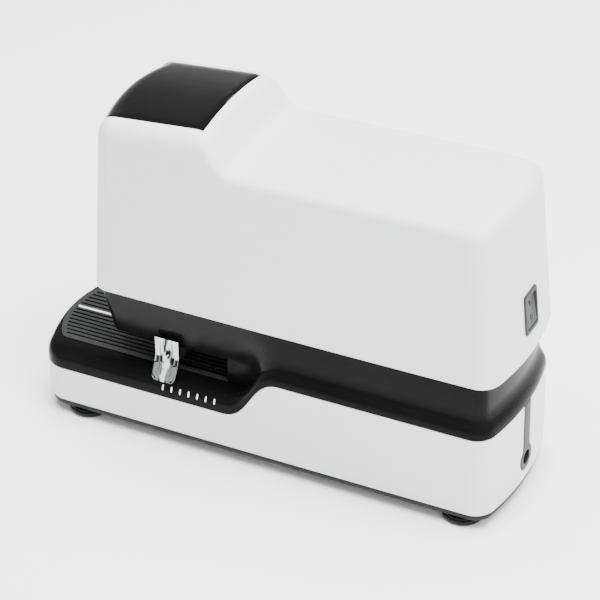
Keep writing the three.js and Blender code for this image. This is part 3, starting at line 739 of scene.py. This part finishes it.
def waist_rows():
    """Rows up the waist, each from the seam on the left round the rear to the seam on the right."""
    front_profile, back_profile = throat_profile(), rear_profile()
    side_ys = [y for y in LONG_SIDE if y > SEAM_Y] + [SEAM_Y]
    right = [(p, n) for p, n in BASE_PLAN.right_half(side_ys) if p.y >= SEAM_Y]
    low, high = STEP[0][1], STEP[-1][1]
    rows = []
    for ahead, behind in zip(front_profile, back_profile):
        half = []
        for p, n in right:
            part = (base_top(p.y) - low) / (high - low)
            inset = lerp(ahead[0], behind[0], part)
            half.append(Vector((*(p - n * inset), lerp(ahead[1], behind[1], part))))
        rows.append(mirrored(half[:0:-1]) + half)
    return rows


def jaw_half_rows():
    """Rows up the jaw's right half, each from the seam round to the middle of the front."""
    side = JAW_PLAN.right_half([-25 - 3 * i for i in range(30)])
    outline = [Vector((JAW_HALF_TOP, SEAM_Y)), Vector((JAW_HALF_TOP, THROAT_END))]
    outline += [p for p, _ in side if p.y < THROAT_END]
    rows = []
    for k in range(JAW_STEPS + 1):
        part = k / JAW_STEPS
        share = lerp(JAW_HALF_BOTTOM, JAW_HALF_TOP, part) / JAW_HALF_TOP
        row = []
        for p in outline:
            forward = min(max((THROAT_END - p.y) / (THROAT_END - jaw_low.y), 0), 1)
            row.append(Vector((p.x * share, p.y + JAW_SLANT * (1 - part) * forward,
                               lerp(JAW_BOTTOM, jaw_high.z, part))))
        rows.append(row)
    return rows


def throat_wall():
    """Rows up the throat's end wall, from right to left, with the ends rounded off a little."""
    ease = 0.5
    y = THROAT_END
    rows = []
    for inset, z in throat_profile()[ROLL_STEPS:JAW_FIRST + 1]:
        x = base_high.x - inset
        rows.append([(x, y + ease, z), (x - ease, y, z), (0, y, z), (ease - x, y, z), (-x, y + ease, z)])
    return rows


def jaw_underside(lower_edge):
    """Rows across the jaw's underside, one for each point of its right lower edge."""
    rows = []
    for p in lower_edge:
        edge = min(0.5, p.x)
        rows.append([(x, p.y, p.z) for x in (p.x, p.x - edge, 0, edge - p.x, -p.x)])
    return rows


def make_waist():
    """Black waist with the upper jaw, and the flange that the housing sits on."""
    waist, jaw_half = waist_rows(), jaw_half_rows()
    jaw = [half + mirrored(half[-2::-1]) for half in jaw_half]
    wall = throat_wall()
    mesh = Mesh()
    mesh.grid(waist)
    mesh.grid(jaw)
    mesh.grid(wall)
    mesh.grid([wall[-1]] + jaw_underside(jaw_half[0][2:]))
    rear_flange = [(x * FLANGE_SHARE, y * 0.95 if y > 0 else y, z) for x, y, z in waist[-1]]
    mesh.grid([waist[-1], rear_flange])
    front_flange = [(x * FLANGE_SHARE, y + 6 * min(max((THROAT_END - y) / 60, 0), 1), z)
                    for x, y, z in jaw[-1]]
    mesh.grid([jaw[-1], front_flange])
    cover = mesh.to_object("waist_shell")
    thicken(cover, WAIST_WALL)
    nose_half, nose_ahead, nose_behind = 11.2, 4.7, 5.3
    carve(cover, block(Mesh(), -nose_half, nose_half, STAPLE_Y - nose_ahead, STAPLE_Y + nose_behind,
                       JAW_BOTTOM - 4.6, JAW_BOTTOM + 5.4))
    finished(cover, "gloss_black", ROOT, ["waist_cover"])


# ---------------------------------------------------------------- table
def front_half(plan, side_steps=30):
    """Right half of an outline ahead of the throat's end, with evenly spaced side stations."""
    end = [p for p, _ in plan.end(plan.front, plan.front_bow, plan.front_corner, 1)]
    start = Vector((plan.half, SEAM_Y))
    return [start.lerp(end[0], i / side_steps) for i in range(side_steps)] + end


def make_table():
    """Black table: rounded rim, grooved deck and the openings for the anvil and the slider."""
    outer, inner = front_half(BASE_PLAN), front_half(DECK_PLAN)

    def rim_point(low, high, part):
        inward = roll_share(part)[0]
        return Vector((*low.lerp(high, inward), roll_point(part)[1]))

    rows = []
    for i in range(ROLL_STEPS + 1):
        half = [rim_point(*pair, i / ROLL_STEPS) for pair in zip(outer, inner)]
        rows.append(half + mirrored(half[-2::-1]))
    edge = [Vector((p.x, p.y, table_top)) for p in rows[-1]]
    mesh = Mesh()
    mesh.grid(rows + [edge])
    across = 12
    mesh.grid([[(p.x * (1 - 2 * j / across), p.y, table_top) for j in range(across + 1)]
               for p in edge[:len(outer)]])
    table = mesh.to_object("table_shell")
    thicken(table)

    above = table_top + 10
    grooves = Mesh()
    for i in range(-GROOVE_COUNT, GROOVE_COUNT + 1):
        x = i * GROOVE_PITCH
        half = GROOVE_HALF if i else LINE_GROOVE_HALF
        front = DECK_PLAN.front_y(x, 0) + GROOVE_START
        prism(grooves, round_ended(x, half, front, THROAT_END + 1, 6), table_top - GROOVE_DEPTH, above)
    carve(table, grooves)
    anvil_half, below = 12.4, 30
    openings = block(Mesh(), -anvil_half, anvil_half, STAPLE_Y - 7.4, STAPLE_Y + 7.4, below, above)
    block(openings, 21.6, 24.6, STAPLE_Y + 1, THROAT_END + 1, below, above)
    carve(table, openings)
    finished(table, "gloss_black", ROOT, ["table_cover"])
    table.data.materials.append(deck_look)
    for face in table.data.polygons:
        z = face.center.z / MM
        on_deck = min(abs(z - table_top), abs(z - table_top + GROOVE_DEPTH)) < 0.05
        if on_deck and face.normal.z > 0.99:
            face.material_index = 1


def make_guide_line():
    """White line that lies in the deck's middle groove."""
    front = DECK_PLAN.front_y(0, 0) + GROOVE_START + 0.3
    outline = round_ended(0, LINE_HALF, front, STAPLE_Y - 8, 8)
    line = prism(Mesh(), outline, table_top - 0.7, table_top - 0.05)
    finished(line.to_object("guide_line"), "white_ink", ROOT, ["centre_line"])


def make_depth_marks():
    """Seven white marks printed up the rounded rim, each a thin pad with round ends."""
    count, pitch, first_y = 7, 5, -54.1
    steps = 8
    for i in range(count):
        y = first_y + pitch * i
        rows = []
        for j in range(steps + 1):
            half = 0.43 * math.sqrt(max(1 - abs(2 * j / steps - 1) ** 8, 0.05))
            part = lerp(0.14, 0.36, j / steps)
            inset, z = roll_point(part)
            further_inset, higher = roll_point(part + 0.01)
            out = Vector((higher - z, 0, further_inset - inset)).normalized()
            face = Vector((base_high.x - inset, 0, z))
            rows.append([face + out * lift + Vector((0, y + side * half, 0))
                         for side, lift in ((-1, -0.15), (1, -0.15), (1, 0.06), (-1, 0.06))])
        mesh = Mesh()
        mesh.tube(rows)
        finished(mesh.to_object(f"depth_mark_{i + 1}"), "white_ink", ROOT)


# ---------------------------------------------------------------- base
def make_base():
    """White lower body, open below, with the opening for the cable outlet."""
    right = BASE_PLAN.right_half(LONG_SIDE)
    outside = [(0.5, 0, 0.0), (0.15, 0.15, 0.0), (0, 0.5, 0.0)] + [(0, 0.5, i / 8) for i in range(1, 8)]
    rim = [(0, -0.35, 1.0), (0.12, -0.1, 1.0), (0.4, 0, 1.0), (WALL, 0, 1.0)]
    inside = [(WALL, 0, i / 6) for i in range(5, -1, -1)]
    rows = []
    for inset, lift, part in outside + rim + inside:
        half = [Vector((*(p - n * inset), lerp(base_low.z, base_top(p.y), part) + lift)) for p, n in right]
        rows.append(full_ring(half))
    mesh = Mesh()
    mesh.grid(rows, closed=True, loop=True)
    shell = mesh.to_object("base_body")
    inside, above = 115, 70
    half = OUTLET_HALF + OUTLET_GAP
    carve(shell, rod_y(Mesh(), OUTLET_RADIUS + OUTLET_GAP, inside, PAST_REAR, OUTLET_Z))
    carve(shell, block(Mesh(), -half, half, inside, PAST_REAR, OUTLET_Z, above))
    finished(shell, "white_shell", ROOT, ["base_shell"])


def make_base_plate():
    """Dark bottom plate with a rounded lower edge and four screw holes."""
    edge = base_high.x - plate_high.x
    section = [(2.6, 0.0), (1.2, 0.25), (0.3, 1.0), (0, 1.9), (0, 3.6), (0.3, plate_high.z - plate_low.z)]
    rows = []
    for inset, rise in section:
        rows.append(full_ring([Vector((*(p - n * (inset + edge)), plate_low.z + rise))
                               for p, n in BASE_PLAN.right_half(LONG_SIDE)]))
    mesh = Mesh()
    mesh.tube(rows)
    plate = mesh.to_object("bottom_plate")
    hole, above = 2.4, 12
    for node in sorted(n for n in frame["nodes"] if n.startswith("frame_screw")):
        low, high = corners(node)
        centre = (low + high) / 2
        carve(plate, lathe([(hole, 0), (hole, above)], centre.x, centre.y, 24))
    finished(plate, "dark_trim", ROOT, ["base_plate"])


def make_feet():
    """Round rubber feet with a hollow in the middle of the sole and a softened rim."""
    for end in ("front", "rear"):
        for side in ("right", "left"):
            node = f"foot_{end}_{side}"
            low, high = corners(node)
            centre = (low + high) / 2
            radius = (high.x - low.x) / 2
            profile = [(3.0, 0.5), (3.6, 0.12), (4.2, 0), (radius - 1.8, 0), (radius - 1.0, 0.25),
                       (radius - 0.35, 0.9), (radius, 1.9), (radius, 2.9), (radius - 0.25, 3.4),
                       (radius - 0.9, 3.7), (radius - 1.0, 4.1), (radius - 0.5, high.z)]
            foot = lathe(profile, centre.x, centre.y).to_object(f"rubber_{node}")
            finished(foot, "rubber_foot", ROOT, [node])


def make_outlet():
    """Cable outlet: a strip down the back that widens to a round boss with the cable hole."""
    bore, collar, inside = 4, 1.5, 110
    shoulder = OUTLET_Z + 9
    meet = math.acos(OUTLET_HALF / OUTLET_RADIUS)
    arc = [math.pi - meet + (math.pi + 2 * meet) * i / 36 for i in range(37)]
    loop = [Vector((OUTLET_RADIUS * math.cos(a), OUTLET_Z + OUTLET_RADIUS * math.sin(a))) for a in arc]
    loop += [Vector((OUTLET_HALF, shoulder)), Vector((OUTLET_HALF, outlet_high.z)),
             Vector((-OUTLET_HALF, outlet_high.z)), Vector((-OUTLET_HALF, shoulder))]
    face = outlet_high.y
    mesh = Mesh()
    mesh.tube([[(x, y, z) for x, z in inset_loop(loop, inset)]
               for y, inset in ((face - 2.8, 0), (face - 0.5, 0), (face - 0.15, 0.12), (face, 0.5))])
    outlet = mesh.to_object("cable_gland")
    carve(outlet, rod_y(Mesh(), bore, inside, PAST_REAR, OUTLET_Z))
    bush = Mesh()
    section = [(bore, face - 0.7), (bore + 0.3, face - 0.1), (bore + 0.7, face),
               (bore + collar, face - 0.3), (bore + collar, 120), (bore, 120)]
    bush.grid([[(x, y, z) for x, z in circle(radius, 48, 0, OUTLET_Z)] for radius, y in section],
              closed=True, loop=True)
    finished(bush.to_object("cable_bush"), "dark_trim", ROOT)
    finished(outlet, "grey_plastic", ROOT, ["cable_outlet"])


# ---------------------------------------------------------------- switch
PADDLE_TILT = Matrix.Rotation(math.radians(4), 4, "X")
MARK_LIFT = 0.08                                      # how far the marks stand out
MARK_ROOT = -0.4                                      # and how deep they begin


def on_rear_face(mesh):
    """Moves a piece drawn on x and z, with y outwards, onto the leaning rear face."""
    lean = math.atan(REAR_DRAFT * housing_high.y / DRAFT_HEIGHT)
    y = housing_high.y * (1 - REAR_DRAFT * (SWITCH_Z - housing_low.z) / DRAFT_HEIGHT)
    place = Matrix.Translation((0, y, SWITCH_Z)) @ Matrix.Rotation(lean, 4, "X")
    mesh.points = [place @ p for p in mesh.points]
    return mesh


def make_switch_frame():
    """Bezel with a softened rim round a deep opening."""
    outer = rounded_rectangle(7.4, 11.3, 1.8)
    inner = rounded_rectangle(5.9, 8.9, 1.2)
    section = [(outer, 0, -0.6), (outer, 0, 0.5), (outer, 0.14, 0.85), (outer, 0.5, 1.0),
               (inner, -0.4, 1.0), (inner, -0.1, 0.85), (inner, 0, 0.5), (inner, 0, -6),
               (inner, -0.8, -6), (inner, -0.8, -0.6)]
    mesh = Mesh()
    mesh.grid([[(x, y, z) for x, z in inset_loop(loop, inset)] for loop, inset, y in section],
              closed=True, loop=True)
    finished(on_rear_face(mesh).to_object("switch_frame"), "grey_plastic", ROOT,
             ["switch_bezel"])


def make_switch_paddle():
    """Rocker with a slightly hollow face."""
    curve = 0.35 / 8.7 ** 2
    face = rounded_rectangle(5.5, 8.3, 1.0)
    rows = []
    for inset, y in ((0, -3), (0, -0.5), (0.12, -0.15), (0.5, 0), (1.6, -0.1), (3.2, -0.25)):
        rows.append([PADDLE_TILT @ Vector((x, y + curve * z ** 2, z))
                     for x, z in inset_loop(face, inset)])
    mesh = Mesh()
    mesh.tube(rows)
    finished(on_rear_face(mesh).to_object("switch_paddle"), "grey_plastic", "rocker",
             ["rocker_switch"])


def bar_rows(z):
    """Section rows of a short upright bar."""
    rows = []
    for inset, y in ((0, MARK_ROOT), (0, MARK_LIFT), (0.168, MARK_LIFT), (0.168, MARK_ROOT)):
        loop = inset_loop(rounded_rectangle(0.3, 1.4, 0.25), inset)
        rows.append([(x, y, v + z) for x, v in loop])
    return rows


def ring_rows(z):
    """Section rows of a small ring."""
    section = ((1.5, MARK_ROOT), (1.5, MARK_LIFT), (1.05, MARK_LIFT), (1.05, MARK_ROOT))
    return [[(x, y, v) for x, v in circle(radius, 28, 0, z)] for radius, y in section]


def make_switch_marks():
    """A bar above and a ring below, as on any mains switch."""
    offset = 3.8
    for name, rows in (("switch_mark_on", bar_rows(offset)), ("switch_mark_off", ring_rows(-offset))):
        mark = Mesh()
        mark.grid(rows, closed=True, loop=True)
        mark.points = [PADDLE_TILT @ p for p in mark.points]
        finished(on_rear_face(mark).to_object(name), "dark_trim", "rocker")


# ---------------------------------------------------------------- depth knob
# Outer and inner side of the knob, as (x, z) listed downwards.
KNOB_FACE = [(33.3, knob_high.z), (33.5, 49.9), (35.0, 46), (39.85, 38.2)]
KNOB_BACK = [(31.7, knob_high.z), (32.1, 48), (33.3, 44.4), (37.4, 39.7)]
KNOB_STEPS = 40


def by_depth(profile):
    """The profile as a table of x for along(), which is read at -z."""
    return [(-z, x) for x, z in profile]


def knob_face(half, bulge):
    """Points across the face as (y, rise): a pad, a groove and half of the ridge, then mirrored."""
    pad = lerp(3.1, 4.0, bulge)
    side = [(half, -0.5), (half - 0.15, -0.15), (half - 0.5, 0), (pad + 0.2, 0), (pad, -0.12),
            (pad - 0.25, -0.75 * bulge), (2.55, -0.9 * bulge), (2.35, -0.65 * bulge),
            (0.8, 3.3 * bulge), (0.5, 3.55 * bulge)]
    return side + [(-y, rise) for y, rise in reversed(side)]


def make_knob():
    """Chromed slider: two curved pads with a bulging grip ridge between them."""
    middle = (knob_low.y + knob_high.y) / 2
    half = (knob_high.y - knob_low.y) / 2
    face_at, back_at = by_depth(KNOB_FACE), by_depth(KNOB_BACK)
    rows = []
    for i in range(KNOB_STEPS + 1):
        part = i / KNOB_STEPS
        face_z = lerp(knob_high.z, KNOB_FACE[-1][1], part)
        back_z = lerp(knob_high.z, KNOB_BACK[-1][1], part)
        corner = 0.5 * smooth((part - 0.86) / 0.14) + 1.1 * smooth((part - 0.94) / 0.06)
        wide = half - corner
        face = knob_face(wide, math.sin(math.pi * part))
        row = [Vector((along(face_at, -face_z) + rise, middle + y, face_z)) for y, rise in face]
        row += [Vector((along(back_at, -back_z), middle + y, back_z))
                for y in (-wide, -wide / 3, wide / 3, wide)]
        rows.append(row)
    mesh = Mesh()
    mesh.tube(rows)
    finished(mesh.to_object("slider_grip"), "chrome_trim", "slider", ["depth_knob"], sharp=30)


# ---------------------------------------------------------------- inner parts
def finish_inner_parts():
    """Gives every CAD node that stays its own material."""
    for part in frame["record"]["subparts"]:
        node = frame["nodes"][part["node"]]
        node.data.materials.clear()
        node.data.materials.append(looks[part["material_slot"]])


# ---------------------------------------------------------------- stage, light and camera
CAMERA_AZIMUTH = 117.13                               # degrees from -Y towards +X
CAMERA_ELEVATION = 34.01                              # degrees
CAMERA_ROLL = -0.0238                                 # radians
CAMERA_PLACE = (0.97567, 0.50537, 0.82131)            # metres
SENSOR_WIDTH = 36                                     # millimetres, as is the lens
LENS = 156.168
FLOOR_TURN = 117.1                                    # degrees; puts the floor's bend at the back
WORLD_POWER = 0.95
KEY_POWER = 28                                        # watts, as are the two below
TOP_POWER = 115
SIDE_POWER = 5


def make_floor():
    """Pale paper that curves up behind the object. Its sizes are in metres."""
    half, lift, back, bend = 2.4, 1.6, 3.0, 0.8
    angles = [math.pi / 2 * i / 12 for i in range(1, 13)]
    profile = [(-half, 0), (back - bend, 0)]
    profile += [(back - bend + bend * math.sin(a), bend - bend * math.cos(a)) for a in angles]
    profile.append((back, lift))
    mesh = Mesh()
    mesh.grid([[(x / MM, y / MM, z / MM) for x in (-half, half)] for y, z in profile])
    turn = Matrix.Rotation(math.radians(FLOOR_TURN), 4, "Z")
    mesh.points = [turn @ p for p in mesh.points]
    floor = mesh.to_object("studio_floor")
    for face in floor.data.polygons:
        face.use_smooth = True
    floor.data.materials.append(surface("floor_paper", (0.96, 0.96, 0.96), 0.002, (0.6, 0.7), (300, 1e-5)))


def make_flag():
    """Dark card beside the scene that only shows in reflections, as on a product table."""
    out = Vector((0.86, -0.5, 0))
    sideways = Vector((0.5, 0.86, 0))
    half, low, high = 450, 55, 260
    outline = [(-half, low), (half, low), (half, high), (-half, high)]
    mesh = Mesh()
    mesh.tube([[out * distance + sideways * across + Vector((0, 0, height)) for across, height in outline]
               for distance in (900, 910)])
    card = mesh.to_object("dark_card")
    card.data.materials.append(surface("card_felt", (0.01, 0.01, 0.01), 0.1, (0.9, 1.0), (500, 1e-4)))
    card.visible_camera = False
    card.visible_diffuse = False
    card.visible_shadow = False


def direction(azimuth, elevation):
    """Unit vector from the object towards an azimuth, counted from -Y towards +X, and elevation."""
    az, el = math.radians(azimuth), math.radians(elevation)
    return Vector((math.sin(az) * math.cos(el), -math.cos(az) * math.cos(el), math.sin(el)))


def area_light(name, azimuth, elevation, distance, size, power):
    """A soft square light that faces the object. Gloss doesn't mirror it."""
    data = bpy.data.lights.new(name, "AREA")
    data.shape = "SQUARE"
    data.size = size
    data.energy = power
    light = bpy.data.objects.new(name, data)
    away = direction(azimuth, elevation)
    light.location = Vector((0, 0, 0.1)) + away * distance
    light.rotation_euler = away.to_track_quat("Z", "Y").to_euler()
    light.visible_glossy = False
    bpy.context.scene.collection.objects.link(light)


def make_light():
    """White surroundings that darken overhead, and soft lights that gloss doesn't mirror."""
    world = bpy.data.worlds.new("studio")
    world.use_nodes = True
    tree = world.node_tree
    place = tree.nodes.new("ShaderNodeTexCoord")
    split = tree.nodes.new("ShaderNodeSeparateXYZ")
    ramp = tree.nodes.new("ShaderNodeValToRGB")
    ramp.color_ramp.elements[0].position = 0.55
    ramp.color_ramp.elements[0].color = (1, 1, 1, 1)
    ramp.color_ramp.elements[1].position = 0.75
    ramp.color_ramp.elements[1].color = (0.1, 0.1, 0.1, 1)
    tree.links.new(place.outputs["Generated"], split.inputs["Vector"])
    tree.links.new(split.outputs["Z"], ramp.inputs["Fac"])
    tree.links.new(ramp.outputs["Color"], tree.nodes["Background"].inputs["Color"])
    tree.nodes["Background"].inputs["Strength"].default_value = WORLD_POWER
    bpy.context.scene.world = world
    area_light("key", 160, 55, 1.5, 1.0, KEY_POWER)
    area_light("top", 200, 85, 1.5, 1.4, TOP_POWER)
    area_light("side", 140, 25, 1.2, 0.8, SIDE_POWER)


def make_camera():
    """A long lens, seen from the object's right rear and from above."""
    back = direction(CAMERA_AZIMUTH, CAMERA_ELEVATION)
    azimuth = math.radians(CAMERA_AZIMUTH)
    level = Vector((math.cos(azimuth), math.sin(azimuth), 0))
    upright = back.cross(level)
    right = level * math.cos(CAMERA_ROLL) + upright * math.sin(CAMERA_ROLL)
    up = upright * math.cos(CAMERA_ROLL) - level * math.sin(CAMERA_ROLL)
    data = bpy.data.cameras.new("camera")
    data.sensor_width = SENSOR_WIDTH
    data.lens = LENS
    data.clip_end = 20
    camera = bpy.data.objects.new("camera", data)
    rotation = Matrix((right, up, back)).transposed().to_4x4()
    camera.matrix_world = Matrix.Translation(CAMERA_PLACE) @ rotation
    bpy.context.scene.collection.objects.link(camera)
    bpy.context.scene.camera = camera


make_camera()
make_housing()
make_lid()
make_waist()
make_table()
make_guide_line()
make_depth_marks()
make_base()
make_base_plate()
make_feet()
make_outlet()
make_switch_frame()
make_switch_paddle()
make_switch_marks()
make_knob()
finish_inner_parts()
make_floor()
make_flag()
make_light()
